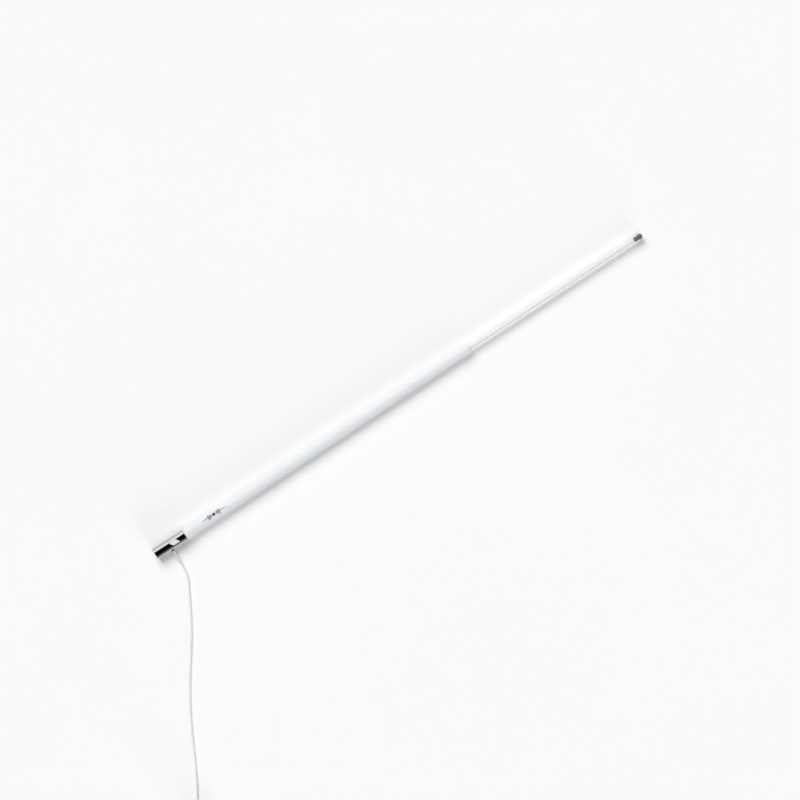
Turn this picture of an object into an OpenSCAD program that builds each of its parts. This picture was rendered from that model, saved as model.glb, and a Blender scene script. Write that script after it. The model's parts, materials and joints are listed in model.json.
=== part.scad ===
// Whip antenna for a boat's VHF radio, lying on its side, with its coaxial lead coiled beside it.
// The mast runs along +X from the threaded mouth of its metal ferrule, and +Z is up.

/* [Ferrule] */
// Outside diameter of the metal ferrule
ferrule_d = 31.5; // [28:0.1:36]
// Length of the ferrule
ferrule_l = 93; // [70:1:120]
// Major diameter of the 1 inch, 14 threads to the inch mounting thread
thread_d = 25.4; // [20:0.1:30]
// Depth of the mounting thread
thread_l = 30; // [15:1:40]
// Width of the slanted window in the ferrule's wall, round the ferrule
window_w = 11.6; // [8:0.1:14]
// Length of the window along the mast
window_l = 21; // [15:0.5:28]
// How far the window's ends slant over its width
window_slant = 9; // [0:0.5:12]
// Distance of the side cable hole from the mouth
exit_x = 44; // [36:1:55]

/* [Mast] */
// Overall length from the mouth to the tip
mast_l = 1500; // [1200:10:1800]
// Outside diameter of the lower tube where it enters the ferrule
lower_d = 24.2; // [20:0.1:28]
// Outside diameter of the lower tube at the step
step_d = 21.1; // [18:0.1:24]
// Where the lower tube ends
step_x = 958; // [900:1:1000]
// Wall of the lower tube
lower_wall = 2; // [1:0.1:3]
// Outside diameter of the upper tube
upper_d = 10.6; // [8:0.1:14]
// Wall of the upper tube
upper_wall = 1.8; // [1:0.1:2.5]
// Length of the flared collar above the ferrule
collar_l = 25; // [15:1:35]
// Outside diameter of the collar where it meets the ferrule
collar_d = 30; // [26:0.1:31]
// Diameter of the ball on the tip cap
ball_d = 14.8; // [12:0.1:18]
// Length of the tip cap
cap_l = 25; // [18:1:35]

/* [Radiator] */
// Quarter wavelength at the middle of the marine VHF band
quarter_wave = 478; // [440:1:500]
// Diameter of the radiator rod
rod_d = 2.4; // [1.6:0.1:3]
// Outside diameter of the lower dipole sleeve
sleeve_d = 14; // [10:0.1:15]
// Length of the lower dipole sleeve
sleeve_l = 455; // [420:1:480]
// Number of ferrite beads that choke the coaxial lead
bead_count = 4; // [1:1:6]
// Length of one ferrite bead
bead_l = 28; // [20:1:30]

/* [Lead] */
// Diameter of the coaxial lead
coax_d = 5; // [4.8:0.1:5.4]
// Diameter across the coil at the middle of its turns
coil_d = 60; // [50:1:75]
// Width of the wound bundle
bundle_w = 25; // [15:1:30]
// Height of the wound bundle
bundle_h = 22.3; // [10:0.1:30]
// Thickness of the strap that ties the coil
strap_t = 0.9; // [0.6:0.1:1.5]
// Width of the strap, as an angle about the coil
strap_angle = 13; // [6:1:20]

/* [Plug] */
// Outside diameter of the coupling ring
ring_d = 18.4; // [17:0.1:20]
// Major diameter of the coupling ring's thread
ring_thread_d = 15.9; // [15:0.1:17]
// Diameter of the barrel that the ring turns on
journal_d = 14; // [13:0.1:14.5]
// Radial clearance of the coupling ring on its barrel
ring_gap = 0.05; // [0.02:0.01:0.09]
// Diameter of the centre pin
pin_d = 3.9; // [3.8:0.05:4.1]
// Direction of the plug's nose about Z
plug_heading = -33; // [-60:1:0]

/* [Hidden] */
$fn = 96;
fit = 0.05;
small_fit = 0.02;
ferrule_r = ferrule_d / 2;
floor_z = -ferrule_r;
coax_r = coax_d / 2;
lay_z = floor_z + coax_r;
lower_r = lower_d / 2;
step_r = step_d / 2;
upper_r = upper_d / 2;
tube_x = 52;
liner_x = 36;
liner_r = 13.6;
cavity_r = 11.6;
peg_r = 3;
window_x = 59.5;
window_tilt = 6;
bend_r = 16;
bend_x = exit_x + bend_r;
exit_y = -bend_r;
grommet_seat_r = ferrule_r - 1.2;
feed_x = 934;
rod_x = feed_x + 5;
upper_x = feed_x + 2;
sleeve_end_x = feed_x - 9;
sleeve_x = sleeve_end_x - sleeve_l;
sleeve_r = sleeve_d / 2;
bead_x = 330;
bead_pitch = bead_l + 2;
cap_x = mast_l - cap_l;
shoulder_l = 14;
bundle_z = floor_z + strap_t;
coil_at = [-256, -660, 0];
plug_at = [-267, -725, floor_z + ring_d / 2 + 0.1];
plug_way = [cos(plug_heading), sin(plug_heading), 0];
boot_l = 16;

// The lead from the grommet to the coil, along the surface that the mast lies on
lead_route = [
  [44, -16, 0],
  [44, -26, -0.5],
  [43.5, -38, -3],
  [43.5, -50, -7],
  [43, -62, -11],
  [42, -74, -13],
  [39, -88, lay_z],
  [33, -105, lay_z],
  [22, -125, lay_z],
  [-2, -168, lay_z],
  [-32, -218, lay_z],
  [-66, -267, lay_z],
  [-101, -316, lay_z],
  [-134, -367, lay_z],
  [-164, -419, lay_z],
  [-192, -472, lay_z],
  [-220, -526, lay_z],
  [-250, -577, lay_z],
  [-272, -611, -13],
  [-283, -628, -12.5],
  [-289.5, -638, -12.4]
];

// The lead from the top of the coil down to the plug
tail_route = [
  [-297, -659, 4.5],
  [-301, -668, 3],
  [-303, -679, 0],
  [-302, -691, -3.5],
  [-297, -702, -6],
  [-289, -711, -6.45],
  plug_at - plug_way * boot_l,
  plug_at
];

// Outside radius of the lower tube at a place along the mast
function lower_out(x) = x < ferrule_l ? lower_r
  : lower_r - (lower_r - step_r) * (x - ferrule_l) / (step_x - ferrule_l);
function lower_in(x) = lower_out(x) - lower_wall;

function arc(cx, cy, r, from, to, steps) =
  [for (i = [0:steps]) let (a = from + (to - from) * i / steps) [cx + r * cos(a), cy + r * sin(a)]];

function unit(v) = v / norm(v);

// Points round one corner of an outline that runs anticlockwise
function corner(before, here, after, r) =
  let (a = unit(before - here), b = unit(after - here), half = acos(a * b) / 2,
       middle = here + unit(a + b) * r / sin(half), start = here + a * r / tan(half) - middle,
       from = atan2(start[1], start[0]))
    arc(middle[0], middle[1], r, from, from + 180 - 2 * half, 6);
function rounded(points, r) = [
  for (i = [0:len(points) - 1])
    each corner(points[(i + len(points) - 1) % len(points)], points[i],
                points[(i + 1) % len(points)], r)
];

// A point on a smooth curve through four points, between the second and the third
function smooth(a, b, c, d, u) =
  (2 * b + (c - a) * u + (2 * a - 5 * b + 4 * c - d) * u * u + (3 * b - a - 3 * c + d) * u * u * u) / 2;
function held(list, i) = list[max(0, min(len(list) - 1, i))];
function steps_in(list, i) = max(1, round(norm(list[i + 1] - list[i]) / (2.5 * coax_d)));
function run(list) = [
  for (i = [0:len(list) - 2])
    for (k = [0:steps_in(list, i) - 1])
      smooth(held(list, i - 1), list[i], list[i + 1], held(list, i + 2), k / steps_in(list, i)),
  list[len(list) - 1]
];
function heading_at(points, i) = unit(held(points, i + 1) - held(points, i - 1));
function side_of(way) = unit(cross(way, [0, 0, 1]));

// Revolves a profile of [radius, distance along the mast] points about the mast
module along_mast() {
  rotate([0, 90, 0]) children();
}

module turned(profile) {
  along_mast() rotate_extrude() polygon(profile);
}

module tube(from, to, outer, inner) {
  turned([[inner, from], [outer, from], [outer, to], [inner, to]]);
}

module rod(from, to, radius) {
  along_mast() translate([0, 0, from]) cylinder(h = to - from, r = radius);
}

module at_plug() {
  translate(plug_at) rotate([0, 0, plug_heading]) children();
}

// Sweeps a round section along a list of points
module swept(points, radius, sides = 10) {
  rings = len(points);
  verts = [
    for (i = [0:rings - 1])
      let (way = heading_at(points, i), side = side_of(way), up = cross(side, way))
        for (k = [0:sides - 1])
          points[i] + radius * (cos(360 * k / sides) * side + sin(360 * k / sides) * up)
  ];
  walls = [
    for (i = [0:rings - 2])
      for (k = [0:sides - 1])
        let (a = i * sides + k, b = i * sides + (k + 1) % sides) [a, b, b + sides, a + sides]
  ];
  first = [for (k = [0:sides - 1]) sides - 1 - k];
  last = [for (k = [0:sides - 1]) (rings - 1) * sides + k];
  polyhedron(points = verts, faces = concat(walls, [first, last]), convexity = 10);
}

// The window's outline in the plane that it faces, made smaller all round by an inset
module window_outline(inset) {
  corner_r = 2;
  half_w = window_w / 2 - inset;
  half_l = window_l / 2 - inset;
  lean = window_slant / 2 * half_w / (window_w / 2);
  polygon(rounded([
    [half_l - lean, half_w], [-half_l - lean, half_w],
    [-half_l + lean, -half_w], [half_l + lean, -half_w]
  ], corner_r));
}

module at_window() {
  rotate([window_tilt, 0, 0]) translate([window_x, 0, 0]) children();
}

module ferrule() {
  color([0.8, 0.81, 0.83])
    difference() {
      turned([
        [thread_d / 2, 0], [ferrule_r - 0.8, 0], [ferrule_r, 0.8],
        [ferrule_r, ferrule_l - 1], [ferrule_r - 1, ferrule_l],
        [liner_r + fit, ferrule_l], [liner_r + fit, liner_x - 1],
        [cavity_r, liner_x - 1], [cavity_r, thread_l], [thread_d / 2, thread_l]
      ]);
      at_window()
        linear_extrude(height = ferrule_r + 1) window_outline(0);
      translate([exit_x, 0, 0]) rotate([90, 0, 0]) cylinder(h = ferrule_r + 1, r = 3.7);
      translate([exit_x, 0, 0]) rotate([90, 0, 0])
        translate([0, 0, grommet_seat_r]) cylinder(h = 4, r = 4.7);
    }
}

// The white key that shows in the window, with a peg into the liner
module window_key() {
  face_r = ferrule_r - 0.35;
  color([0.93, 0.94, 0.95]) {
    intersection() {
      at_window()
        linear_extrude(height = ferrule_r + 1) window_outline(0.15);
      tube(window_x - window_l, window_x + window_l, face_r, liner_r + small_fit);
    }
    at_window()
      translate([0, 0, lower_r + 0.15]) cylinder(h = liner_r - lower_r + 0.4, r = peg_r);
  }
}

module cable_grommet() {
  flange_in = liner_r - 0.1;
  color([0.07, 0.07, 0.08])
    translate([exit_x, 0, 0]) rotate([90, 0, 0])
      rotate_extrude()
        polygon([
          [coax_r + small_fit, flange_in - 1.3], [4.4, flange_in - 1.3], [4.4, flange_in],
          [3.66, flange_in], [3.66, grommet_seat_r + small_fit], [4.6, grommet_seat_r + small_fit],
          [4.6, grommet_seat_r + 1.6], [4.2, grommet_seat_r + 2.1],
          [3.3, grommet_seat_r + 3.4], [coax_r + small_fit, grommet_seat_r + 3.4]
        ]);
}

// The white collar above the ferrule, with the liner that holds the lower tube inside it
module base_collar() {
  top_x = ferrule_l + collar_l;
  bore_r = lower_r + small_fit;
  top_r = bore_r + 0.4;
  color([0.93, 0.94, 0.95])
    difference() {
      turned(concat(
        [[lower_r - 2, liner_x], [liner_r, liner_x], [liner_r, ferrule_l + small_fit],
         [collar_d / 2, ferrule_l + small_fit]],
        [for (i = [0:10]) let (t = i / 10)
          [top_r + (collar_d / 2 - top_r) * pow(1 - t, 1.8), ferrule_l + 3 + (collar_l - 3) * t]],
        [[bore_r, top_x], [bore_r, tube_x], [lower_r - 2, tube_x]]
      ));
      at_window() cylinder(h = ferrule_r, r = peg_r + fit);
      translate([exit_x, 0, 0]) rotate([90, 0, 0]) cylinder(h = ferrule_r, r = 4.7);
    }
}

module lower_tube() {
  color([0.94, 0.95, 0.96])
    turned([
      [lower_r - lower_wall, tube_x + small_fit], [lower_r, tube_x + small_fit],
      [lower_r, ferrule_l], [step_r, step_x],
      [step_r - lower_wall, step_x], [lower_r - lower_wall, ferrule_l]
    ]);
}

module shoulder_bush() {
  spigot_r = step_r - lower_wall - fit;
  bore_r = upper_r + fit;
  round_r = 6.5;
  end_x = step_x + shoulder_l;
  color([0.94, 0.95, 0.96])
    turned(concat(
      [[bore_r, upper_x - 4], [spigot_r, upper_x - 4], [spigot_r, step_x + small_fit],
       [step_r, step_x + small_fit]],
      arc(step_r - round_r, end_x - round_r, round_r, 0, 82, 8),
      [[bore_r, end_x]]
    ));
}

module step_sealant() {
  start_x = step_x + shoulder_l + small_fit;
  color([0.9, 0.91, 0.92])
    turned([
      [upper_r + small_fit, start_x], [upper_r + 0.9, start_x],
      [upper_r + 0.5, start_x + 1.4], [upper_r + small_fit, start_x + 4]
    ]);
}

module upper_tube() {
  color([0.94, 0.95, 0.96])
    tube(upper_x, mast_l - 13, upper_r, upper_r - upper_wall);
}

module tip_cap() {
  ball_r = ball_d / 2;
  ball_x = mast_l - ball_r;
  neck_r = upper_r + 0.6;
  neck_angle = acos(neck_r / ball_r);
  bore_r = upper_r + small_fit;
  color([0.3, 0.35, 0.41])
    turned(concat(
      [[0, mast_l - 12.9], [bore_r, mast_l - 12.9], [bore_r, cap_x], [neck_r - 0.2, cap_x],
       [neck_r, cap_x + 0.6]],
      arc(0, ball_x, ball_r, -neck_angle, 90, 16)
    ));
}

module potting_plug() {
  color([0.16, 0.17, 0.18])
    tube(tube_x + 10, tube_x + 30, lower_in(ferrule_l) - small_fit, coax_r + small_fit);
}

module inner_coax() {
  end_x = sleeve_end_x - 3;
  color([0.85, 0.85, 0.84]) {
    rod(bend_x, end_x, coax_r);
    translate([bend_x, exit_y, 0])
      rotate([0, 0, 90]) rotate_extrude(angle = 90) translate([bend_r, 0]) circle(r = coax_r);
  }
}

module coax_discs() {
  disc_l = 8;
  color([0.75, 0.76, 0.72])
    for (x = [150, 260])
      tube(x, x + disc_l, lower_in(x + disc_l) - fit, coax_r + small_fit);
}

module bead_clamps() {
  clamp_l = 7;
  color([0.1, 0.1, 0.11])
    for (x = [bead_x - 1 - clamp_l, bead_x + bead_pitch * bead_count - 1])
      tube(x, x + clamp_l, coax_r + 1.1, coax_r + small_fit);
}

module choke_beads() {
  color([0.2, 0.2, 0.21])
    for (i = [0:bead_count - 1])
      tube(bead_x + i * bead_pitch, bead_x + i * bead_pitch + bead_l, 6, coax_r + 0.1);
}

module sleeve_end_plug() {
  color([0.86, 0.87, 0.84])
    turned([
      [coax_r + small_fit, sleeve_x - 5], [sleeve_r, sleeve_x - 5],
      [sleeve_r, sleeve_x - small_fit], [sleeve_r - 0.75, sleeve_x - small_fit],
      [sleeve_r - 0.75, sleeve_x + 9], [coax_r + small_fit, sleeve_x + 9]
    ]);
}

module dipole_sleeve() {
  color([0.78, 0.63, 0.33])
    tube(sleeve_x, sleeve_end_x, sleeve_r, sleeve_r - 0.7);
}

module sleeve_discs() {
  disc_l = 8;
  color([0.75, 0.76, 0.72])
    for (x = [520, 670, 820])
      tube(x, x + disc_l, lower_in(x + disc_l) - fit, sleeve_r + small_fit);
}

module sleeve_cap() {
  color([0.72, 0.57, 0.28])
    tube(sleeve_end_x - 3 + small_fit, sleeve_end_x, sleeve_r - 0.72, 1.5);
}

module feed_insulator() {
  color([0.95, 0.95, 0.93])
    tube(sleeve_end_x + small_fit, feed_x - 4 - small_fit, sleeve_r, 1.5);
}

module coax_dielectric() {
  color([0.9, 0.9, 0.86])
    rod(sleeve_end_x - 3 + small_fit, feed_x, 1.475);
}

module coax_core() {
  color([0.76, 0.45, 0.3])
    rod(feed_x + small_fit, rod_x - small_fit, 0.45);
}

module feed_crimp() {
  color([0.74, 0.6, 0.32])
    turned([
      [0.47, feed_x + small_fit], [2.2, feed_x + small_fit], [2.2, rod_x + 5],
      [rod_d / 2 + small_fit, rod_x + 5], [rod_d / 2 + small_fit, rod_x], [0.47, rod_x]
    ]);
}

module radiator_rod() {
  color([0.78, 0.63, 0.33])
    rod(rod_x + small_fit, rod_x + quarter_wave, rod_d / 2);
}

module rod_discs() {
  first_x = 1010;
  pitch = 130;
  color([0.75, 0.76, 0.72])
    for (i = [0:3])
      tube(first_x + i * pitch, first_x + i * pitch + 5, upper_r - upper_wall - fit,
           rod_d / 2 + small_fit);
}

module coax_lead() {
  color([0.85, 0.85, 0.84])
    swept(run(lead_route), coax_r);
}

module coax_coil() {
  mid = coil_d / 2;
  half = bundle_w / 2;
  color([0.83, 0.83, 0.82])
    translate(coil_at)
      rotate_extrude()
        polygon([
          [mid - half + 1, bundle_z], [mid + half - 1, bundle_z],
          [mid + half, bundle_z + 1.5], [mid + half, bundle_z + 13],
          [mid + half - 3, bundle_z + 18], [mid + half - 7, bundle_z + bundle_h],
          [mid - half + 7, bundle_z + bundle_h], [mid - half + 3, bundle_z + 18],
          [mid - half, bundle_z + 13], [mid - half, bundle_z + 1.5]
        ]);
}

// A strap round the bundle, as a closed loop that follows the coil for a few degrees
module coil_ties() {
  mid = coil_d / 2;
  half = bundle_w / 2;
  out = strap_t;
  gap = small_fit;
  color([0.08, 0.08, 0.09])
    for (turn = [20, 290])
      translate(coil_at) rotate([0, 0, turn])
        rotate_extrude(angle = strap_angle)
          difference() {
            polygon([
              [mid - half + 0.6, floor_z], [mid + half - 0.6, floor_z],
              [mid + half + out, floor_z + 2], [mid + half + out, bundle_z + 13.3],
              [mid + half - 2.2, bundle_z + 18.6], [mid + half - 6.6, bundle_z + bundle_h + out],
              [mid - half + 6.6, bundle_z + bundle_h + out], [mid - half + 2.2, bundle_z + 18.6],
              [mid - half - out, bundle_z + 13.3], [mid - half - out, floor_z + 2]
            ]);
            polygon([
              [mid - half + 1, bundle_z - gap], [mid + half - 1, bundle_z - gap],
              [mid + half + gap, bundle_z + 1.5], [mid + half + gap, bundle_z + 13],
              [mid + half - 3 + gap, bundle_z + 18], [mid + half - 7, bundle_z + bundle_h + gap],
              [mid - half + 7, bundle_z + bundle_h + gap], [mid - half + 3 - gap, bundle_z + 18],
              [mid - half - gap, bundle_z + 13], [mid - half - gap, bundle_z + 1.5]
            ]);
          }
}

module coax_tail() {
  color([0.85, 0.85, 0.84])
    swept(run(tail_route), coax_r);
}

module plug_boot() {
  color([0.07, 0.07, 0.08])
    at_plug()
      turned([
        [coax_r + small_fit, -boot_l], [coax_r + 0.6, -boot_l], [coax_r + 1.6, -4],
        [coax_r + 1.9, -small_fit], [coax_r + small_fit, -small_fit]
      ]);
}

module plug_reducer() {
  color([0.77, 0.77, 0.76])
    at_plug()
      turned([
        [coax_r + small_fit, 0], [5.2, 0], [5.6, 0.4], [5.6, 7.5], [5.3, 8 - small_fit],
        [4.6, 8 - small_fit], [4.6, 21], [coax_r + small_fit, 21]
      ]);
}

module plug_body() {
  barrel_r = 6.6;
  bore_r = 4.65;
  stop_r = 8.2;
  shell_r = 5.9;
  journal_r = journal_d / 2;
  nose = 37.5;
  color([0.8, 0.8, 0.79])
    at_plug()
      difference() {
        turned([
          [bore_r, 8], [barrel_r - 0.4, 8], [barrel_r, 8.4], [barrel_r, 18],
          [stop_r, 18], [stop_r, 20], [journal_r, 20], [journal_r, 27],
          [journal_r + 0.6, 27], [journal_r + 0.6, 30], [shell_r, 30], [shell_r, nose],
          [4.9, nose], [4.9, 25], [bore_r, 24]
        ]);
        for (turn = [0:90:270])
          rotate([turn, 0, 0]) {
            translate([13.5, 0, 0]) cylinder(h = 10, r = 1.5);
            translate([nose - 2, -0.8, 0]) cube([4, 1.6, 10]);
          }
      }
}

module plug_insulator() {
  color([0.55, 0.3, 0.14])
    at_plug() tube(25.5, 31, 4.88, 1.6);
}

module plug_pin() {
  tail_r = 1.57;
  color([0.82, 0.8, 0.74])
    at_plug()
      turned([
        [0, 22], [tail_r, 22], [tail_r, 31 + small_fit], [pin_d / 2, 31 + small_fit],
        [pin_d / 2, 41], [pin_d / 2 - 0.9, 42], [0, 42]
      ]);
}

module coupling_ring() {
  lip_r = journal_d / 2 + ring_gap;
  cavity = ring_thread_d / 2;
  color([0.78, 0.78, 0.77])
    at_plug()
      turned([
        [lip_r, 20.3], [ring_d / 2 - 0.6, 20.3], [ring_d / 2, 20.9], [ring_d / 2, 38.2],
        [ring_d / 2 - 0.8, 39], [cavity + 0.5, 39], [cavity, 38.5], [cavity, 26.7],
        [lip_r, 26.7]
      ]);
}

ferrule();
window_key();
cable_grommet();
base_collar();
lower_tube();
shoulder_bush();
step_sealant();
upper_tube();
tip_cap();
potting_plug();
inner_coax();
coax_discs();
bead_clamps();
choke_beads();
sleeve_end_plug();
dipole_sleeve();
sleeve_discs();
sleeve_cap();
feed_insulator();
coax_dielectric();
coax_core();
feed_crimp();
radiator_rod();
rod_discs();
coax_lead();
coax_coil();
coil_ties();
coax_tail();
plug_boot();
plug_reducer();
plug_body();
plug_insulator();
plug_pin();
coupling_ring();
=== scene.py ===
import json
import math
import random

import bmesh
import bpy
from mathutils import Matrix, Vector


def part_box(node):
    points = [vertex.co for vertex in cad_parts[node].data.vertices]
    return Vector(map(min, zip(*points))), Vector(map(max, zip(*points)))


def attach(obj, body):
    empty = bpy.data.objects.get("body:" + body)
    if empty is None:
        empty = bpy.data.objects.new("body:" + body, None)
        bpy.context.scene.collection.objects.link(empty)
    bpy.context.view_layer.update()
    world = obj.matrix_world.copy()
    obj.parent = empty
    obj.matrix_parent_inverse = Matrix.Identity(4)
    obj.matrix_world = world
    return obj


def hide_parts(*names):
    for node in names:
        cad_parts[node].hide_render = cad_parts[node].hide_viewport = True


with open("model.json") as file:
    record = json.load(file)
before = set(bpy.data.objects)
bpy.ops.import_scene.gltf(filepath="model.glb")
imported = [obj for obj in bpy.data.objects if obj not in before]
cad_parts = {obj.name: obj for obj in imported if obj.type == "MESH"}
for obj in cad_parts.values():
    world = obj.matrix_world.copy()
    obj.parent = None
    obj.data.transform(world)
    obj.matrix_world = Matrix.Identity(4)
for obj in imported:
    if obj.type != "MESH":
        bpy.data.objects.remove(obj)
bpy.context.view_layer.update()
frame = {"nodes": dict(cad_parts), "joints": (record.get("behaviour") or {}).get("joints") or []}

mm = 0.001
scene = bpy.context.scene
scene.view_settings.view_transform = "Standard"
nodes = frame["nodes"]

ferruleLow, ferruleHigh = (Vector(corner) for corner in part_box("ferrule"))
floorHeight = ferruleLow.z
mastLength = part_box("tip_cap")[1][0]

ringHinge = frame["joints"][0]
plugWay = Vector(ringHinge["axis"]).normalized()
plugReach = 29  # mm from the rear face of the plug's reducer to the ring's hinge
bootLength = 16  # mm that the boot covers behind the reducer
plugRear = Vector(ringHinge["pos_m"]) - plugWay * plugReach * mm
plugPlace = Matrix.Translation(plugRear) @ plugWay.to_track_quat("X", "Z").to_matrix().to_4x4()


# a socket that takes part in ordinary sums
class Sock:
    def __init__(self, tree, socket):
        self.tree = tree
        self.socket = socket

    def __add__(self, other):
        return self.tree.maths("ADD", self, other)

    def __radd__(self, other):
        return self.tree.maths("ADD", other, self)

    def __sub__(self, other):
        return self.tree.maths("SUBTRACT", self, other)

    def __rsub__(self, other):
        return self.tree.maths("SUBTRACT", other, self)

    def __mul__(self, other):
        return self.tree.maths("MULTIPLY", self, other)

    def __rmul__(self, other):
        return self.tree.maths("MULTIPLY", other, self)

    def __truediv__(self, other):
        return self.tree.maths("DIVIDE", self, other)

    def __rtruediv__(self, other):
        return self.tree.maths("DIVIDE", other, self)


class Tree:
    def __init__(self, nodeTree):
        self.nodeTree = nodeTree

    def join(self, socket, value):
        if isinstance(value, Sock):
            self.nodeTree.links.new(value.socket, socket)
        else:
            socket.default_value = value

    def node(self, kind, settings=None, inputs=None, out=0):
        made = self.nodeTree.nodes.new(kind)
        for name, value in (settings or {}).items():
            setattr(made, name, value)
        for name, value in (inputs or {}).items():
            self.join(made.inputs[name], value)
        return Sock(self, made.outputs[out])

    def maths(self, operation, *values):
        return self.node("ShaderNodeMath", {"operation": operation}, dict(enumerate(values)))

    def split(self, vector):
        first = self.node("ShaderNodeSeparateXYZ", None, {0: vector})
        return [Sock(self, socket) for socket in first.socket.node.outputs]

    def ramp(self, value, low, high, soft=True):
        settings = {"interpolation_type": "SMOOTHSTEP"} if soft else {}
        limits = {"Value": value, "From Min": low, "From Max": high}
        return self.node("ShaderNodeMapRange", settings, limits)

    def mixed(self, amount, first, second):
        inputs = {0: amount, 6: first, 7: second}
        return self.node("ShaderNodeMix", {"data_type": "RGBA"}, inputs, out=2)


class Finish(Tree):
    def __init__(self, name, fixed):
        self.material = bpy.data.materials.new(name)
        self.material.use_nodes = True
        super().__init__(self.material.node_tree)
        self.shader = self.nodeTree.nodes["Principled BSDF"]
        for socket, value in fixed.items():
            self.shader.inputs[socket].default_value = value

    def place(self, scale=(1, 1, 1), turn=(0, 0, 0)):
        spot = self.node("ShaderNodeTexCoord", out="Object")
        inputs = {"Vector": spot, "Scale": scale, "Rotation": turn}
        return self.node("ShaderNodeMapping", None, inputs)

    def noise(self, place, scale, detail=2.0):
        inputs = {"Vector": place, "Scale": scale, "Detail": detail}
        return self.node("ShaderNodeTexNoise", None, inputs)

    def show(self, socket, value):
        self.join(self.shader.inputs[socket], value)

    def bump(self, height, distance):
        inputs = {"Height": height, "Distance": distance}
        self.show("Normal", self.node("ShaderNodeBump", None, inputs))


def rgb(red, green, blue):
    return (red, green, blue, 1.0)


def paint(material, *names):
    for name in names:
        for slot in nodes[name].material_slots:
            slot.material = material


def newPiece(name, mesh, material, body, replaced=()):
    piece = bpy.data.objects.new(name, mesh)
    scene.collection.objects.link(piece)
    mesh.materials.clear()
    mesh.materials.append(material)
    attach(piece, body)
    if replaced:
        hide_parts(*replaced)
    return piece


weldGap = 1e-7  # points nearer than this become one


def smoothMesh(name, points, faces, sharpAngle=30):
    mesh = bpy.data.meshes.new(name)
    mesh.from_pydata([tuple(point) for point in points], [], faces)
    build = bmesh.new()
    build.from_mesh(mesh)
    bmesh.ops.remove_doubles(build, verts=build.verts, dist=weldGap)
    bmesh.ops.recalc_face_normals(build, faces=build.faces)
    build.to_mesh(mesh)
    build.free()
    mesh.shade_smooth()
    mesh.set_sharp_from_angle(angle=math.radians(sharpAngle))
    return mesh


# profile holds (radius, distance along the axis) in millimetres, round a closed section
def turnedMesh(name, profile, place=None, steps=96, sharpAngle=30):
    place = place or Matrix.Identity(4)
    points, faces = [], []
    for radius, along in profile:
        for step in range(steps):
            turn = math.tau * step / steps
            spot = Vector((along, radius * math.cos(turn), radius * math.sin(turn))) * mm
            points.append(place @ spot)
    rings = len(profile)
    for ring in range(rings):
        after = (ring + 1) % rings
        if profile[ring][0] == 0 and profile[after][0] == 0:
            continue
        for step in range(steps):
            side = (step + 1) % steps
            a, b = ring * steps, after * steps
            faces.append((a + step, a + side, b + side, b + step))
    return smoothMesh(name, points, faces, sharpAngle)


def joinedMesh(name, meshes):
    build = bmesh.new()
    for mesh in meshes:
        build.from_mesh(mesh)
    joined = bpy.data.meshes.new(name)
    build.to_mesh(joined)
    build.free()
    return joined


cameraSettings = {
    "turn": math.radians(-33.27),  # the mast rises to the right
    "lens": 200.0,
    "sensor": 36.0,
    "across": 2.0615,  # width of the view at the mast
    "shift": (-0.0046, -0.0134),  # from the middle of the mast to the middle of the view
    "clipEnd": 100,
}


def makeCamera():
    s = cameraSettings
    data = bpy.data.cameras.new("camera")
    data.lens = s["lens"]
    data.sensor_width = s["sensor"]
    data.clip_end = s["clipEnd"]
    camera = bpy.data.objects.new("camera", data)
    height = s["across"] * s["lens"] / s["sensor"]
    camera.location = (mastLength / 2 + s["shift"][0], s["shift"][1], height)
    camera.rotation_euler = (0, 0, s["turn"])
    scene.collection.objects.link(camera)
    scene.camera = camera


makeCamera()
print("camera placed")


def jacketFinish():
    look = {
        "light": rgb(0.78, 0.79, 0.80),
        "grubby": rgb(0.66, 0.665, 0.66),
        "smear": 0.55, "rough": 0.38, "smearRough": 0.14, "grainRough": 0.05, "depth": 0.00006,
        "fixed": {"Specular IOR Level": 0.45, "Coat Weight": 0.12, "Coat Roughness": 0.25},
    }
    finish = Finish("cableJacket", look["fixed"])
    place = finish.place()
    smear = finish.ramp(finish.noise(place, 55, 4), 0.45, 0.75)
    grain = finish.noise(place, 2600, 3)
    finish.show("Base Color", finish.mixed(smear * look["smear"], look["light"], look["grubby"]))
    finish.show(
        "Roughness", look["rough"] + smear * look["smearRough"] + grain * look["grainRough"])
    finish.bump(grain * 0.6 + finish.noise(place, 420, 2), look["depth"])
    return finish.material


patchEdges = (0.35, 0.7)


# a colour that varies in soft patches, with a fine grain in its surface
def mottled(name, look):
    finish = Finish(name, look.get("fixed", {}))
    place = finish.place(look.get("stretch", (1, 1, 1)))
    patch = finish.noise(place, look["patches"], 3)
    grain = finish.noise(place, look["grain"], 3)
    grainSwing = 0.06
    shade = finish.ramp(patch, *patchEdges)
    finish.show("Base Color", finish.mixed(shade, look["light"], look["dark"]))
    finish.show(
        "Roughness",
        look["rough"] + (patch - 0.5) * look["roughSwing"] + (grain - 0.5) * grainSwing)
    finish.bump(grain, look["depth"])
    return finish.material


def chromeFinish():
    look = {
        "clean": rgb(0.56, 0.565, 0.575), "hazy": rgb(0.49, 0.49, 0.50), "haze": 0.6,
        "rough": 0.035, "hazeRough": 0.05, "polishRough": 0.02, "depth": 0.0000016,
    }
    finish = Finish("chromePlate", {"Metallic": 1.0, "IOR": 2.5})
    haze = finish.ramp(finish.noise(finish.place(), 70, 4), 0.5, 0.8)
    polish = finish.noise(finish.place((2600, 60, 60)), 1.0, 2)  # faint rings left by the lathe
    finish.show("Base Color", finish.mixed(haze * look["haze"], look["clean"], look["hazy"]))
    finish.show(
        "Roughness", look["rough"] + haze * look["hazeRough"] + polish * look["polishRough"])
    finish.bump(polish, look["depth"])
    return finish.material


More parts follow.
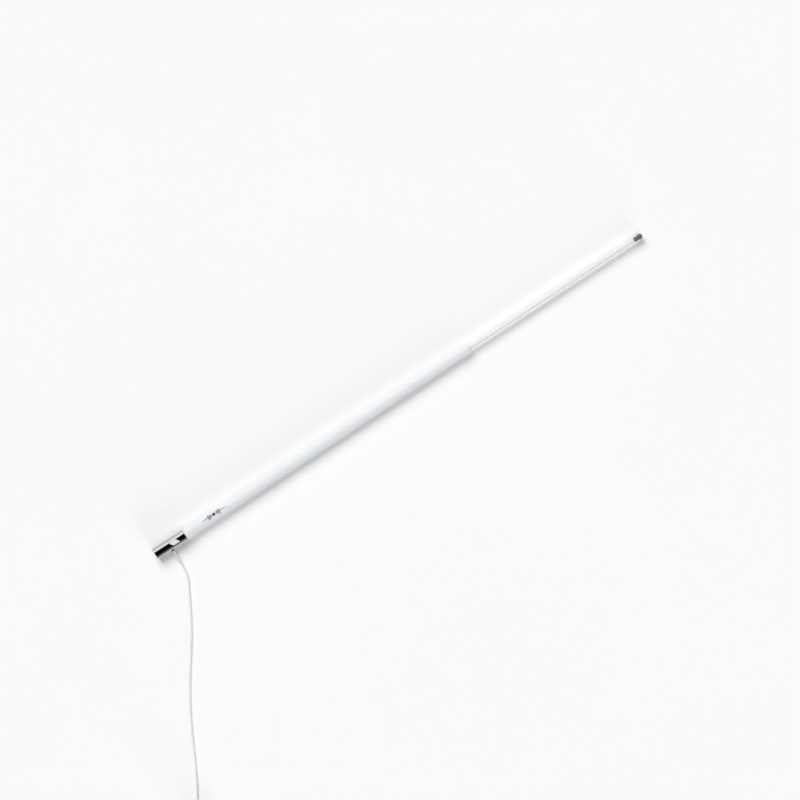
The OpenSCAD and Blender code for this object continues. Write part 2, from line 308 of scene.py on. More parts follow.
# lacquer over wound glass: long faint bands, fine orange peel and a little dust
def gelcoatFinish(name, windingTurn):
    look = {
        "white": rgb(0.765, 0.782, 0.805),
        "band": rgb(0.735, 0.753, 0.778),
        "dust": rgb(0.68, 0.68, 0.675),
        "dustShare": 0.18, "rough": 0.26, "bandRough": 0.1, "dustRough": 0.12, "depth": 0.00003,
    }
    finish = Finish(name, {"Coat Weight": 0.1, "Coat Roughness": 0.08, "Specular IOR Level": 0.3})
    banded = finish.noise(finish.place((6, 120, 120), (0, 0, windingTurn)), 1.0, 3)
    peel = finish.noise(finish.place(), 700, 2)
    dust = finish.ramp(finish.noise(finish.place(), 240, 5), 0.62, 0.78)
    colour = finish.mixed(finish.ramp(banded, *patchEdges), look["white"], look["band"])
    finish.show("Base Color", finish.mixed(dust * look["dustShare"], colour, look["dust"]))
    finish.show(
        "Roughness", look["rough"] + banded * look["bandRough"] + dust * look["dustRough"])
    finish.bump(peel + banded * 0.6, look["depth"])
    return finish.material


# nickel plate with the marks of turning round the plug's own axis
def nickelFinish(name, look):
    wear = {"tarnish": 0.7, "tarnishRough": 0.16, "ringRough": 0.08, "depth": 0.000012}
    finish = Finish(name, {"Metallic": 1.0})
    turn = (0, 0, -math.atan2(plugWay.y, plugWay.x))
    rings = finish.noise(finish.place((5200, 160, 160), turn), 1.0, 3)
    tarnish = finish.ramp(finish.noise(finish.place(), 260, 4), 0.48, 0.78)
    finish.show(
        "Base Color", finish.mixed(tarnish * wear["tarnish"], look["bright"], look["dull"]))
    finish.show(
        "Roughness", look["rough"] + tarnish * wear["tarnishRough"] + rings * wear["ringRough"])
    finish.bump(rings, wear["depth"])
    return finish.material


# woven strap: the over-and-under threads shape the bump, and the colour is painted darker in the
# weave's hollows, a painted shade
def strapFinish():
    look = {
        "thread": 0.55 * mm, "high": rgb(0.045, 0.045, 0.05), "low": rgb(0.012, 0.012, 0.014),
        "rough": 0.75, "fuzzRough": 0.15, "depth": 0.00012,
    }
    finish = Finish("strapWeave", {"Sheen Weight": 0.25, "Specular IOR Level": 0.25})
    x, y, z = finish.split(finish.place())
    beat = math.tau / look["thread"]
    over = finish.maths("SINE", (x + y) * beat) * finish.maths("SINE", (x - y + z) * beat)
    weaveAndShade = finish.ramp(over, -0.6, 0.8)
    fuzz = finish.noise(finish.place(), 5200, 2)
    # painted shade: the "low" colour lies in the weave's hollows, the "high" colour on the raised
    # threads
    finish.show("Base Color", finish.mixed(weaveAndShade, look["low"], look["high"]))
    finish.show("Roughness", look["rough"] + fuzz * look["fuzzRough"])
    finish.bump(weaveAndShade + fuzz * 0.4, look["depth"])
    return finish.material


# foam with pits for pores; the pores are painted darker than their walls, a painted shade
def foamFinish():
    look = {
        "wall": rgb(0.66, 0.67, 0.64), "cell": rgb(0.44, 0.45, 0.42), "cells": 900.0,
        "rough": 0.8, "cellRough": 0.15, "depth": 0.0003,
    }
    finish = Finish("spacerFoam", {"Specular IOR Level": 0.2})
    inputs = {"Vector": finish.place(), "Scale": look["cells"]}
    cell = finish.node("ShaderNodeTexVoronoi", None, inputs, "Distance")
    shade = finish.ramp(cell, 0.1, 0.6)
    # painted shade: the "cell" colour darkens the pits of the pores
    finish.show("Base Color", finish.mixed(shade, look["cell"], look["wall"]))
    finish.show("Roughness", look["rough"] + cell * look["cellRough"])
    finish.bump(cell, look["depth"])
    return finish.material


looks = {
    "collarMoulding": {
        "light": rgb(0.765, 0.775, 0.79), "dark": rgb(0.735, 0.745, 0.755),
        "patches": 40, "grain": 1500, "rough": 0.33, "roughSwing": 0.1, "depth": 0.00003,
        "fixed": {"Specular IOR Level": 0.3},
    },
    "jointSealant": {
        "light": rgb(0.80, 0.80, 0.79), "dark": rgb(0.70, 0.70, 0.68),
        "patches": 300, "grain": 1200, "rough": 0.5, "roughSwing": 0.2, "depth": 0.0002,
    },
    "capRubber": {
        "light": rgb(0.105, 0.146, 0.190), "dark": rgb(0.078, 0.110, 0.146),
        "patches": 220, "grain": 2400, "rough": 0.42, "roughSwing": 0.18, "depth": 0.00008,
        "fixed": {"Coat Weight": 0.12},
    },
    "blackRubber": {
        "light": rgb(0.022, 0.022, 0.024), "dark": rgb(0.012, 0.012, 0.013),
        "patches": 300, "grain": 2600, "rough": 0.55, "roughSwing": 0.2, "depth": 0.0001,
    },
    "pottingResin": {
        "light": rgb(0.05, 0.05, 0.052), "dark": rgb(0.03, 0.03, 0.031),
        "patches": 160, "grain": 900, "rough": 0.3, "roughSwing": 0.2, "depth": 0.0001,
    },
    "sinteredFerrite": {
        "light": rgb(0.085, 0.083, 0.085), "dark": rgb(0.05, 0.048, 0.05),
        "patches": 500, "grain": 3500, "rough": 0.5, "roughSwing": 0.1, "depth": 0.00006,
        "fixed": {"Metallic": 0.3},
    },
    "naturalPolythene": {
        "light": rgb(0.78, 0.79, 0.75), "dark": rgb(0.70, 0.71, 0.67),
        "patches": 200, "grain": 1800, "rough": 0.4, "roughSwing": 0.12, "depth": 0.00005,
    },
    "whitePtfe": {
        "light": rgb(0.86, 0.86, 0.85), "dark": rgb(0.80, 0.80, 0.79),
        "patches": 260, "grain": 2200, "rough": 0.45, "roughSwing": 0.08, "depth": 0.00004,
    },
    "drawnBrass": {
        "light": rgb(0.80, 0.60, 0.26), "dark": rgb(0.55, 0.36, 0.14),
        "patches": 3, "grain": 60, "stretch": (1, 60, 60),
        "rough": 0.26, "roughSwing": 0.2, "depth": 0.00002, "fixed": {"Metallic": 1.0},
    },
    "copperWire": {
        "light": rgb(0.83, 0.42, 0.26), "dark": rgb(0.55, 0.24, 0.13),
        "patches": 5, "grain": 80, "stretch": (1, 40, 40),
        "rough": 0.28, "roughSwing": 0.15, "depth": 0.00002, "fixed": {"Metallic": 1.0},
    },
    "silverPin": {
        "light": rgb(0.86, 0.84, 0.79), "dark": rgb(0.66, 0.62, 0.53),
        "patches": 420, "grain": 3000, "rough": 0.2, "roughSwing": 0.2, "depth": 0.00001,
        "fixed": {"Metallic": 1.0},
    },
    "brownPhenolic": {
        "light": rgb(0.30, 0.13, 0.05), "dark": rgb(0.17, 0.065, 0.025),
        "patches": 600, "grain": 2500, "rough": 0.42, "roughSwing": 0.15, "depth": 0.00005,
    },
    "softSolder": {
        "light": rgb(0.66, 0.66, 0.66), "dark": rgb(0.44, 0.44, 0.45),
        "patches": 900, "grain": 2600, "rough": 0.3, "roughSwing": 0.25, "depth": 0.00006,
        "fixed": {"Metallic": 1.0},
    },
    "markInk": {
        "light": rgb(0.030, 0.036, 0.055), "dark": rgb(0.055, 0.062, 0.082),
        "patches": 500, "grain": 2600, "rough": 0.35, "roughSwing": 0.15, "depth": 0.00002,
        "fixed": {"Coat Weight": 0.3},
    },
}
finishes = {name: mottled(name, look) for name, look in looks.items()}
finishes["chromePlate"] = chromeFinish()
finishes["lowerGelcoat"] = gelcoatFinish("lowerGelcoat", 0.0)
finishes["upperGelcoat"] = gelcoatFinish("upperGelcoat", 0.04)
finishes["plugNickel"] = nickelFinish(
    "plugNickel", {"bright": rgb(0.74, 0.72, 0.68), "dull": rgb(0.52, 0.49, 0.44), "rough": 0.17})
finishes["ringNickel"] = nickelFinish(
    "ringNickel", {"bright": rgb(0.78, 0.765, 0.73), "dull": rgb(0.56, 0.53, 0.48), "rough": 0.2})
finishes["strapWeave"] = strapFinish()
finishes["spacerFoam"] = foamFinish()
finishes["cableJacket"] = jacketFinish()

nodeFinishes = {
    "cableJacket": ("inner_coax",),
    "chromePlate": ("ferrule",),
    "collarMoulding": ("window_key", "base_collar", "shoulder_bush"),
    "jointSealant": ("step_sealant",),
    "lowerGelcoat": ("lower_tube",),
    "upperGelcoat": ("upper_tube",),
    "capRubber": ("tip_cap",),
    "blackRubber": ("cable_grommet", "bead_clamps", "plug_boot"),
    "pottingResin": ("potting_plug",),
    "sinteredFerrite": ("choke_beads",),
    "naturalPolythene": ("sleeve_end_plug", "coax_dielectric"),
    "whitePtfe": ("feed_insulator",),
    "spacerFoam": ("coax_discs", "sleeve_discs", "rod_discs"),
    "drawnBrass": ("dipole_sleeve", "sleeve_cap", "feed_crimp", "radiator_rod"),
    "copperWire": ("coax_core",),
    "plugNickel": ("plug_reducer", "plug_body"),
    "ringNickel": ("coupling_ring",),
    "silverPin": ("plug_pin",),
    "brownPhenolic": ("plug_insulator",),
    "strapWeave": ("coil_ties",),
}
for finishName, names in nodeFinishes.items():
    paint(finishes[finishName], *names)
print(len(finishes), "finishes made")


layHeight = floorHeight + 2.5 * mm
leadSettings = {
    "diameter": 5 * mm,
    "length": 4.57,  # 15 feet
    "bevelSteps": 6,
    "exit": (0.044, -0.018, 0.0),
    "step": 4 * mm,
    "route": [
        (0.044, -0.016, 0), (0.044, -0.026, -0.0005), (0.0435, -0.038, -0.003),
        (0.0435, -0.050, -0.007), (0.043, -0.062, -0.011), (0.042, -0.074, -0.013),
        (0.039, -0.088, layHeight), (0.033, -0.105, layHeight), (0.022, -0.125, layHeight),
        (-0.002, -0.168, layHeight),
        (-0.032, -0.218, layHeight), (-0.066, -0.267, layHeight), (-0.101, -0.316, layHeight),
        (-0.134, -0.367, layHeight), (-0.164, -0.419, layHeight), (-0.192, -0.472, layHeight),
        (-0.220, -0.526, layHeight), (-0.250, -0.577, layHeight), (-0.272, -0.611, -0.013),
        (-0.283, -0.628, -0.0125), (-0.2895, -0.638, -0.0124),
    ],
    "tail": [
        (-0.297, -0.659, 0.0045), (-0.301, -0.668, 0.003), (-0.303, -0.679, 0),
        (-0.302, -0.691, -0.0035), (-0.297, -0.702, -0.006), (-0.289, -0.711, -0.00645),
        tuple(plugRear - plugWay * bootLength * mm), tuple(plugRear),
    ],
}
coilSettings = {
    "middle": Vector((-0.256, -0.660, 0)),
    "radius": 30 * mm,
    "bottom": floorHeight + 3.4 * mm,  # the coil lies on its ties
    # the turns of each layer, in cord widths from the middle, in the order they are wound
    "layers": [
        (2, 1, 0, -1, -2), (-1.5, -0.5, 0.5, 1.5), (2, 1, 0, -1, -2), (-1.5, -0.5, 0.5, 1.5),
        (0, 1)],
    "layerRise": 4.33 * mm,
    "stepsPerTurn": 60,
    "changeShare": 0.33,  # share of a turn in which the cord moves over to its next place
    "hump": 0.6 * mm,  # how far the cord lifts, for each layer below it, as it moves over
    "wobble": 0.25 * mm,
    "seed": 7,
}


def smoothRun(points, step):
    points = [Vector(point) for point in points]
    run = []
    for i in range(len(points) - 1):
        a, b, c, d = (points[max(0, min(len(points) - 1, i + k))] for k in (-1, 0, 1, 2))
        count = max(2, round((c - b).length / step))
        for k in range(count):
            u = k / count
            run.append((2 * b + (c - a) * u + (2 * a - 5 * b + 4 * c - d) * u * u
                        + (3 * b - a - 3 * c + d) * u * u * u) / 2)
    run.append(points[-1])
    return run


def coilPlaces():
    s = coilSettings
    gap = leadSettings["diameter"]
    return [(s["radius"] + side * gap, s["bottom"] + layer * s["layerRise"])
            for layer, sides in enumerate(s["layers"]) for side in sides]


def coilRun(startAngle):
    s = coilSettings
    rng = random.Random(s["seed"])
    places = coilPlaces()
    points = []
    for turn, (radius, height) in enumerate(places):
        nextRadius, nextHeight = places[min(turn + 1, len(places) - 1)]
        phase = rng.uniform(0, math.tau)
        layer = (height - s["bottom"]) / s["layerRise"]
        for step in range(s["stepsPerTurn"]):
            share = step / s["stepsPerTurn"]
            late = max(0.0, (share - 1 + s["changeShare"]) / s["changeShare"])
            moved = late * late * (3 - 2 * late)
            lift = s["hump"] * layer * math.sin(math.pi * late) ** 2
            wave = s["wobble"] * math.sin(math.tau * 2 * share + phase) * math.sin(math.pi * share)
            angle = startAngle + math.tau * share
            far = radius + (nextRadius - radius) * moved + wave
            points.append(s["middle"] + Vector((
                far * math.cos(angle), far * math.sin(angle),
                height + (nextHeight - height) * moved + lift)))
    return points


def leadPath():
    s = leadSettings
    lead = smoothRun(s["route"], s["step"])
    first = lead[-1] - coilSettings["middle"]
    coil = coilRun(math.atan2(first.y, first.x))
    tail = smoothRun([coil[-1]] + s["tail"], s["step"])
    return lead[:-1] + coil[:-1] + tail


def makeLead(material):
    s = leadSettings
    points = leadPath()
    curve = bpy.data.curves.new("coaxialLead", "CURVE")
    curve.dimensions = "3D"
    curve.bevel_depth = s["diameter"] / 2
    curve.bevel_resolution = s["bevelSteps"]
    curve.use_fill_caps = True
    spline = curve.splines.new("POLY")
    spline.points.add(len(points) - 1)
    for spot, point in zip(spline.points, points):
        spot.co = (*point, 1.0)
    spline.use_smooth = True
    curve.materials.append(material)
    lead = bpy.data.objects.new("coaxialLead", curve)
    scene.collection.objects.link(lead)
    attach(lead, "antenna")
    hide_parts("coax_lead", "coax_coil", "coax_tail")
    return lead, points


lead, leadPoints = makeLead(finishes["cableJacket"])


def geometryTree(name, wanted, build):
    group = bpy.data.node_groups.new(name, "GeometryNodeTree")
    group.is_modifier = True
    for label, kind in wanted:
        group.interface.new_socket(label, in_out="INPUT", socket_type="NodeSocket" + kind)
    group.interface.new_socket("Geometry", in_out="OUTPUT", socket_type="NodeSocketGeometry")
    tree = Tree(group)
    start = group.nodes.new("NodeGroupInput")
    given = {label: Sock(tree, start.outputs[label]) for label, _ in wanted}
    made = build(tree, given)
    made = tree.node("GeometryNodeRealizeInstances", None, {"Geometry": made})
    inputs = {"Geometry": made, "Material": given["Material"]}
    made = tree.node("GeometryNodeSetMaterial", None, inputs)
    end = group.nodes.new("NodeGroupOutput")
    tree.join(end.inputs["Geometry"], made)
    return group


def grown(name, group, values, place=None):
    holder = bpy.data.objects.new(name + "Holder", bpy.data.meshes.new(name + "Holder"))
    scene.collection.objects.link(holder)
    modifier = holder.modifiers.new("grow", "NODES")
    modifier.node_group = group
    for item in group.interface.items_tree:
        if item.in_out == "INPUT":
            modifier[item.identifier] = values[item.name]
    bpy.context.view_layer.update()
    graph = bpy.context.evaluated_depsgraph_get()
    mesh = bpy.data.meshes.new_from_object(holder.evaluated_get(graph))
    bpy.data.objects.remove(holder)
    mesh.name = name
    mesh.transform(place or Matrix.Identity(4))
    return mesh


# a ridge wound inside a hole, along Z from the origin
def windThread(tree, given):
    turns = given["Length"] / given["Pitch"]
    path = tree.node("GeometryNodeCurveSpiral", None, {
        "Resolution": 64, "Rotations": turns, "Start Radius": given["Radius"],
        "End Radius": given["Radius"], "Height": given["Length"]}, 0)
    path = tree.node("GeometryNodeSetCurveNormal", {"mode": "Z_UP"}, {"Curve": path})
    crest = tree.node("GeometryNodeCurvePrimitiveCircle", None, {
        "Resolution": 4, "Radius": given["Depth"]})
    return tree.node("GeometryNodeCurveToMesh", None, {
        "Curve": path, "Profile Curve": crest, "Fill Caps": True})


pointStretch = (1.35, 1, 1)  # a knurl's points are longer along the shaft


# rows of small four-sided points round a shaft along X, every second row set half a step over
def windKnurl(tree, given):
    around, rows, length = given["Around"], given["Rows"], given["Length"]
    grid = tree.node("GeometryNodeMeshGrid", None, {
        "Size X": length, "Size Y": math.tau * (1 - 1 / around),
        "Vertices X": rows, "Vertices Y": around})
    x, y, _ = tree.split(tree.node("GeometryNodeInputPosition"))
    row = tree.maths("ROUND", (x / length + 0.5) * (rows - 1))
    odd = tree.maths("FLOORED_MODULO", row, 2)
    angle = y + odd * math.pi / around
    outward = tree.node("ShaderNodeCombineXYZ", None, {
        1: tree.maths("COSINE", angle), 2: tree.maths("SINE", angle)})
    far = tree.node("ShaderNodeVectorMath", {"operation": "SCALE"}, {
        0: outward, "Scale": given["Radius"]})
    along = tree.node("ShaderNodeCombineXYZ", None, {0: x})
    spot = tree.node("ShaderNodeVectorMath", {"operation": "ADD"}, {0: far, 1: along})
    kept = tree.node("GeometryNodeCaptureAttribute", None, {"Geometry": grid}, 0)
    capture = kept.socket.node
    capture.capture_items.new("VECTOR", "outward")
    tree.join(capture.inputs[1], outward)
    bent = tree.node("GeometryNodeSetPosition", None, {"Geometry": kept, "Position": spot})
    held = Sock(tree, capture.outputs[1])
    point = tree.node("GeometryNodeMeshCone", {"fill_type": "NGON"}, {
        "Vertices": 4, "Radius Top": 0.0, "Radius Bottom": given["Size"], "Depth": given["Height"]})
    stand = tree.node("FunctionNodeAlignRotationToVector", {"axis": "Z"}, {"Vector": held})
    stand = tree.node("FunctionNodeAlignRotationToVector", {"axis": "X", "pivot_axis": "Z"}, {
        "Rotation": stand, "Vector": (1, 0, 0)})
    return tree.node("GeometryNodeInstanceOnPoints", None, {
        "Points": bent, "Instance": point, "Rotation": stand, "Scale": pointStretch})


threadTree = geometryTree(
    "threadWinding",
    [("Radius", "Float"), ("Length", "Float"), ("Pitch", "Float"), ("Depth", "Float"),
     ("Material", "Material")],
    windThread)
knurlTree = geometryTree(
    "knurlPattern",
    [("Radius", "Float"), ("Length", "Float"), ("Around", "Int"), ("Rows", "Int"),
     ("Size", "Float"), ("Height", "Float"), ("Material", "Material")],
    windKnurl)


def onPlug(along):
    return plugPlace @ Matrix.Translation((along, 0, 0))


# the thread runs along X from the place
def threadMesh(name, s, material, place):
    return grown(name, threadTree, {
        "Radius": s["radius"], "Length": s["length"], "Pitch": s["pitch"], "Depth": s["depth"],
        "Material": material}, place @ Matrix.Rotation(math.radians(90), 4, "Y"))


def knurlMesh(name, s, material, place):
    return grown(name, knurlTree, {
        "Radius": s["radius"], "Length": s["length"], "Around": s["around"], "Rows": s["rows"],
        "Size": s["size"], "Height": s["height"], "Material": material}, place)


def makeMouthThread():
    s = {
        "radius": 12.75 * mm, "start": 1.2 * mm, "length": 27.5 * mm,
        "pitch": 25.4 / 14 * mm, "depth": 0.95 * mm,
    }
    chrome = finishes["chromePlate"]
    mesh = threadMesh("mouthThread", s, chrome, Matrix.Translation((s["start"], 0, 0)))
    newPiece("mouthThread", mesh, chrome, "antenna")


def makeCouplingRing():
    s = {
        "outline": [
            (7.05, 20.3), (8.6, 20.3), (9.2, 20.9), (9.2, 22.4), (8.85, 22.7), (8.85, 36.5),
            (9.2, 36.8), (9.2, 38.2), (8.4, 39), (8.45, 39), (7.95, 38.5), (7.95, 26.7),
            (7.05, 26.7)],
        "steps": 128,
        "knurl": {
            "radius": 8.98 * mm, "length": 13.0 * mm, "middle": 29.6 * mm,
            "around": 44, "rows": 15, "size": 0.72 * mm, "height": 0.42 * mm,
        },
        "thread": {
            "radius": 8.0 * mm, "start": 27.6 * mm, "length": 10.4 * mm,
            "pitch": 25.4 / 24 * mm, "depth": 0.5 * mm,
        },
    }
    nickel = finishes["ringNickel"]
    body = turnedMesh("ringBody", s["outline"], plugPlace, s["steps"])
    knurl = knurlMesh("ringKnurl", s["knurl"], nickel, onPlug(s["knurl"]["middle"]))
    thread = threadMesh("ringThread", s["thread"], nickel, onPlug(s["thread"]["start"]))
    newPiece("ringBody", body, nickel, "coupling_ring", ["coupling_ring"])
    newPiece("ringKnurl", knurl, nickel, "coupling_ring")
    newPiece("ringThread", thread, nickel, "coupling_ring")


def makeReducerKnurl():
    s = {
        "radius": 5.62 * mm, "length": 5.4 * mm, "middle": 4.0 * mm,
        "around": 30, "rows": 7, "size": 0.66 * mm, "height": 0.4 * mm,
    }
    nickel = finishes["plugNickel"]
    mesh = knurlMesh("reducerKnurl", s, nickel, onPlug(s["middle"]))
    newPiece("reducerKnurl", mesh, nickel, "antenna")


makeMouthThread()
makeCouplingRing()
makeReducerKnurl()
print("threads and knurls wound")


def makeGrommet():
    s = {"outline": [
        (2.55, 12.2), (4.4, 12.2), (4.4, 13.5), (3.66, 13.5), (3.66, 14.6), (4.5, 14.6),
        (4.62, 14.75), (4.65, 15.4), (4.6, 15.95), (4.42, 16.3), (4.15, 16.5), (3.75, 16.65),
        (3.5, 16.9), (3.38, 17.5), (3.28, 17.85), (3.08, 17.95), (2.75, 17.95), (2.55, 17.75)]}
    place = Matrix.Translation((leadSettings["exit"][0], 0, 0))
    place = place @ Matrix.Rotation(math.radians(-90), 4, "Z")
    mesh = turnedMesh("rubberGrommet", s["outline"], place)
    newPiece(
        "rubberGrommet", mesh, finishes["blackRubber"], "antenna",
        ["cable_grommet"])


# a tapering boot with ribs, as a real boot has so that it bends with the lead; here it is one fixed
# mesh
def makeBoot():
    s = {
        "start": -bootLength, "from": 3.15, "to": 4.4, "bore": 2.55,
        "ribs": 6, "firstRib": 1.4, "ribPitch": 1.75, "groove": 0.45,
        # share of the pitch, share of the groove's depth
        "ribShape": ((0, 0), (0.12, 0.7), (0.3, 1), (0.5, 1), (0.68, 0.7), (0.8, 0)),
        "steps": 72, "sharp": 35,
    }
    outline = [
        (s["bore"], s["start"]), (s["from"] - 0.15, s["start"]), (s["from"], s["start"] + 0.2)]

    def surface(along):
        return s["from"] + (s["to"] - s["from"]) * (along - s["start"]) / -s["start"]

    for rib in range(s["ribs"]):
        ribStart = s["start"] + s["firstRib"] + rib * s["ribPitch"]
        for share, depth in s["ribShape"]:
            along = ribStart + share * s["ribPitch"]
            outline.append((surface(along) - depth * s["groove"], along))
    outline += [
        (surface(-1.2), -1.2), (surface(-0.3), -0.3),
        (surface(0) - 0.15, -0.05), (s["bore"], -0.05)]
    mesh = turnedMesh("ribbedBoot", outline, plugPlace, s["steps"], s["sharp"])
    newPiece(
        "ribbedBoot", mesh, finishes["blackRubber"], "antenna", ["plug_boot"])


def makeSolderBeads():
    s = {"along": 13.5 * mm, "out": 6.0 * mm, "size": 1.5 * mm, "flat": 0.5, "count": 4}
    build = bmesh.new()
    for turn in range(s["count"]):
        angle = math.tau * turn / s["count"]
        place = plugPlace @ Matrix.Rotation(angle, 4, "X")
        place = place @ Matrix.Translation((s["along"], 0, s["out"]))
        place = place @ Matrix.Diagonal((1, 1, s["flat"], 1))
        bmesh.ops.create_uvsphere(
            build, u_segments=20, v_segments=12, radius=s["size"], matrix=place)
    mesh = bpy.data.meshes.new("solderBeads")
    build.to_mesh(mesh)
    build.free()
    mesh.shade_smooth()
    newPiece("solderBeads", mesh, finishes["softSolder"], "antenna")


makeSolderBeads()
makeGrommet()
makeBoot()
print("rubber and solder made")


def makeCoilStraps():
    s = {
        "angles": (math.radians(26.5), math.radians(296.5)),
        "width": 9 * mm, "inside": 2.52 * mm, "thick": 0.85 * mm, "steps": 96,
        "lapFrom": math.radians(25), "lapTo": math.radians(128), "lapSteps": 30, "sharp": 40,
    }
    middle = coilSettings["middle"]
    centres = coilPlaces()

    def rim(turn, far):
        way = (math.cos(turn), math.sin(turn))
        radius, height = max(centres, key=lambda c: c[0] * way[0] + c[1] * way[1])
        return radius + far * way[0], height + far * way[1]

    def band(turns, near, far, closed, hoop):
        points, faces = [], []
        for turn in turns:
            for side, depth in ((-1, near), (-1, far), (1, far), (1, near)):
                radius, height = rim(turn, depth)
                points.append(hoop @ Vector((radius, side * s["width"] / 2, height)))
        count = len(turns)
        for i in range(count if closed else count - 1):
            a, b = i * 4, (i + 1) % count * 4
            for k in range(4):
                m = (k + 1) % 4
                faces.append((a + k, a + m, b + m, b + k))
        if not closed:
            faces += [(0, 1, 2, 3), tuple(len(points) - 4 + k for k in (3, 2, 1, 0))]
        return smoothMesh("band", points, faces, s["sharp"])

    lapNear, lapFar = s["inside"] + s["thick"], s["inside"] + 2 * s["thick"]
    meshes = []
    for angle in s["angles"]:
        hoop = Matrix.Translation(middle) @ Matrix.Rotation(angle, 4, "Z")
        loop = [math.tau * k / s["steps"] for k in range(s["steps"])]
        reach = s["lapTo"] - s["lapFrom"]
        lap = [s["lapFrom"] + reach * k / s["lapSteps"] for k in range(s["lapSteps"] + 1)]
        meshes.append(band(loop, s["inside"], lapNear, True, hoop))
        meshes.append(band(lap, lapNear, lapFar, False, hoop))
    straps = joinedMesh("coilStraps", meshes)
    straps.shade_smooth()
    straps.set_sharp_from_angle(angle=math.radians(s["sharp"]))
    newPiece("coilStraps", straps, finishes["strapWeave"], "antenna", ["coil_ties"])


makeCoilStraps()
print("coil tied")


print("lead laid,", len(leadPoints), "points")


lightSettings = {
    "floorSize": 40.0,
    # how far each lamp leans from straight up, towards -Y
    "lamps": {
        "keyLamp": {"strength": 2.8, "spread": math.radians(42), "lean": math.radians(-45)},
        "topLamp": {"strength": 0.95, "spread": math.radians(45), "lean": math.radians(24)},
        "sideLamp": {"strength": 1.45, "spread": math.radians(28), "lean": math.radians(78)},
    },
    "sky": rgb(0.03, 0.03, 0.031),
    "backdrop": rgb(0.93, 0.93, 0.93),
    "floor": (rgb(0.925, 0.925, 0.925), rgb(0.935, 0.935, 0.935)),
}

# what polished metal sees: a dark ceiling between a white wall on one side and a dim one on the
# other, with a grey strip low on the white side; in degrees from straight up, towards -Y
glossSettings = {
    "whiteWall": rgb(1.32, 1.33, 1.35), "dimWall": rgb(0.28, 0.276, 0.272), "change": (40, 60),
    "strip": rgb(0.22, 0.22, 0.23), "stripStart": (-98, -94), "stripEnd": (-86, -80),
    "ceiling": rgb(0.004, 0.004, 0.004), "ceilingStart": (-37, -33), "ceilingEnd": (44, 78),
}


def floorFinish():
    finish = Finish("floorPaint", {"Roughness": 0.9, "Specular IOR Level": 0.1})
    cloud = finish.noise(finish.place(), 1.3, 2)
    finish.show("Base Color", finish.mixed(cloud, *lightSettings["floor"]))
    return finish.material


def makeFloor():
    size = lightSettings["floorSize"] / 2
    corners = [(-size, -size), (size, -size), (size, size), (-size, size)]
    mesh = bpy.data.meshes.new("floor")
    points = [(x + mastLength / 2, y, floorHeight) for x, y in corners]
    mesh.from_pydata(points, [], [(0, 1, 2, 3)])
    mesh.materials.append(floorFinish())
    floor = bpy.data.objects.new("floor", mesh)
    scene.collection.objects.link(floor)


def makeSky():
    s = glossSettings
    world = bpy.data.worlds.new("studio")
    scene.world = world
    world.use_nodes = True
    tree = Tree(world.node_tree)
    _, y, z = tree.split(tree.node("ShaderNodeTexCoord", out="Generated"))
    lean = tree.maths("ARCTAN2", y * -1, z)

    def rise(edge):
        return tree.ramp(lean, *(math.radians(angle) for angle in s[edge]))

    ceiling = rise("ceilingStart") * (1 - rise("ceilingEnd"))
    strip = rise("stripStart") * (1 - rise("stripEnd"))
    seen = tree.mixed(rise("change"), s["whiteWall"], s["dimWall"])
    seen = tree.mixed(strip, seen, s["strip"])
    seen = tree.mixed(ceiling, seen, s["ceiling"])
    gloss = tree.node("ShaderNodeLightPath", out="Is Glossy Ray")
    straight = tree.node("ShaderNodeLightPath", out="Is Camera Ray")
    shown = tree.mixed(gloss, lightSettings["sky"], seen)
    tree.join(
        world.node_tree.nodes["Background"].inputs["Color"],
        tree.mixed(straight, shown, lightSettings["backdrop"]))


def makeLamp(name, look):
    data = bpy.data.lights.new(name, "SUN")
    data.energy = look["strength"]
    data.angle = look["spread"]
    lamp = bpy.data.objects.new(name, data)
    way = Vector((0, -math.sin(look["lean"]), math.cos(look["lean"])))
    lamp.location = Vector((mastLength / 2, 0, 0)) + way
    lamp.rotation_euler = way.to_track_quat("Z", "X").to_euler()
    lamp.visible_glossy = False
    scene.collection.objects.link(lamp)


makeFloor()
makeSky()
for lampName, look in lightSettings["lamps"].items():
    makeLamp(lampName, look)
print("stage lit")


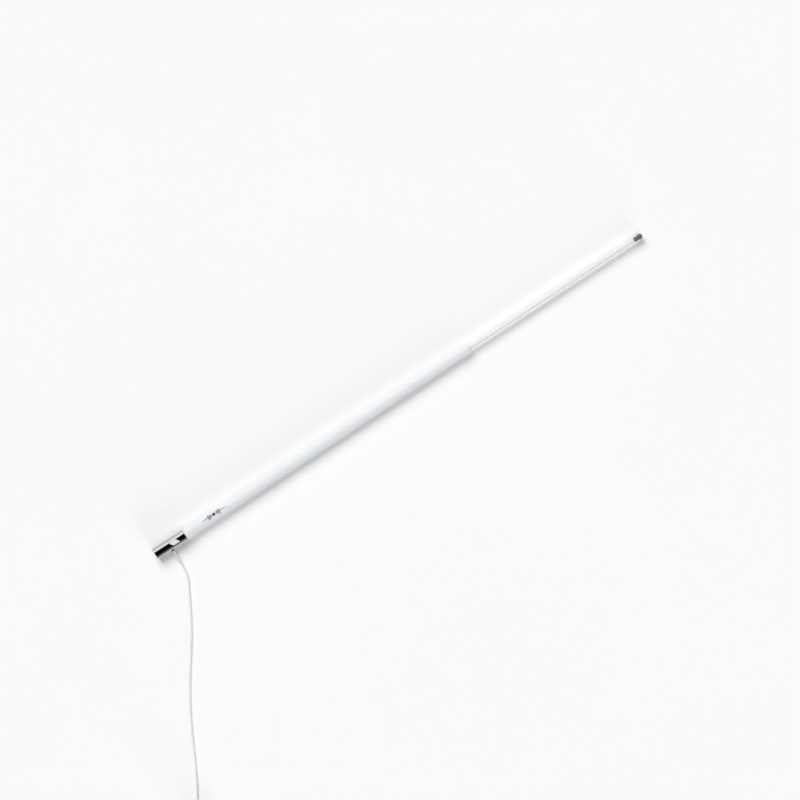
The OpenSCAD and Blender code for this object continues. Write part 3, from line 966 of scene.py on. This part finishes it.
def makeMark():
    s = {
        "middle": 183 * mm, "lean": math.radians(20), "lift": 0.05 * mm, "film": 0.03 * mm,
        "dot": 4.6 * mm, "rings": (8.6 * mm, 12.8 * mm, 17.0 * mm), "spread": math.radians(34),
        "line": 2.9 * mm, "ruleFrom": 20.5 * mm, "ruleTo": 38 * mm, "ruleWidth": 2.4 * mm,
        "arcTaper": 1.3, "ruleTaper": 0.8, "steps": 24, "across": 8, "sharp": 60,
    }
    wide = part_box("lower_tube")[1][2]
    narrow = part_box("shoulder_bush")[1][2]
    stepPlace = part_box("lower_tube")[1][0]
    points, faces = [], []

    def onTube(along, around):
        x = s["middle"] + along
        share = (x - ferruleHigh.x) / (stepPlace - ferruleHigh.x)
        radius = wide + (narrow - wide) * share + s["lift"]
        angle = s["lean"] + around / radius  # from straight up, towards +Y
        return Vector((x, radius * math.sin(angle), radius * math.cos(angle)))

    # a printed patch between two edges, each a function of how far along the patch a point is
    def patch(firstEdge, secondEdge):
        start = len(points)
        row = s["across"] + 1
        for i in range(s["steps"] + 1):
            u = i / s["steps"]
            first, second = Vector(firstEdge(u)), Vector(secondEdge(u))
            points.extend(onTube(*first.lerp(second, k / s["across"])) for k in range(row))
        for i in range(s["steps"]):
            for k in range(s["across"]):
                a = start + i * row + k
                faces.append((a, a + 1, a + row + 1, a + row))

    def arcEdge(side, radius, offset):
        def spot(u):
            angle = s["spread"] * (2 * u - 1)
            far = radius + offset * math.cos((2 * u - 1) * s["arcTaper"])
            return side * far * math.cos(angle), far * math.sin(angle)
        return spot

    def ruleEdge(side, offset):
        reach = s["ruleTo"] - s["ruleFrom"]
        return lambda u: (
            side * (s["ruleFrom"] + reach * u), offset * (1 - s["ruleTaper"] * u))

    def dotEdge(side):
        return lambda u: (
            -s["dot"] * math.cos(math.pi * u), side * s["dot"] * math.sin(math.pi * u))

    patch(dotEdge(-1), dotEdge(1))
    for side in (-1, 1):
        for radius in s["rings"]:
            patch(arcEdge(side, radius, -s["line"] / 2), arcEdge(side, radius, s["line"] / 2))
        patch(ruleEdge(side, -s["ruleWidth"] / 2), ruleEdge(side, s["ruleWidth"] / 2))
    mesh = smoothMesh("printedMark", points, faces, s["sharp"])
    build = bmesh.new()
    build.from_mesh(mesh)
    inward = [face for face in build.faces if face.normal.z < 0]
    bmesh.ops.reverse_faces(build, faces=inward)
    bmesh.ops.solidify(build, geom=build.faces[:], thickness=-s["film"])
    bmesh.ops.recalc_face_normals(build, faces=build.faces[:])
    build.to_mesh(mesh)
    build.free()
    mesh.set_sharp_from_angle(angle=math.radians(s["sharp"]))
    newPiece("printedMark", mesh, finishes["markInk"], "antenna")


makeMark()
print("mark printed")
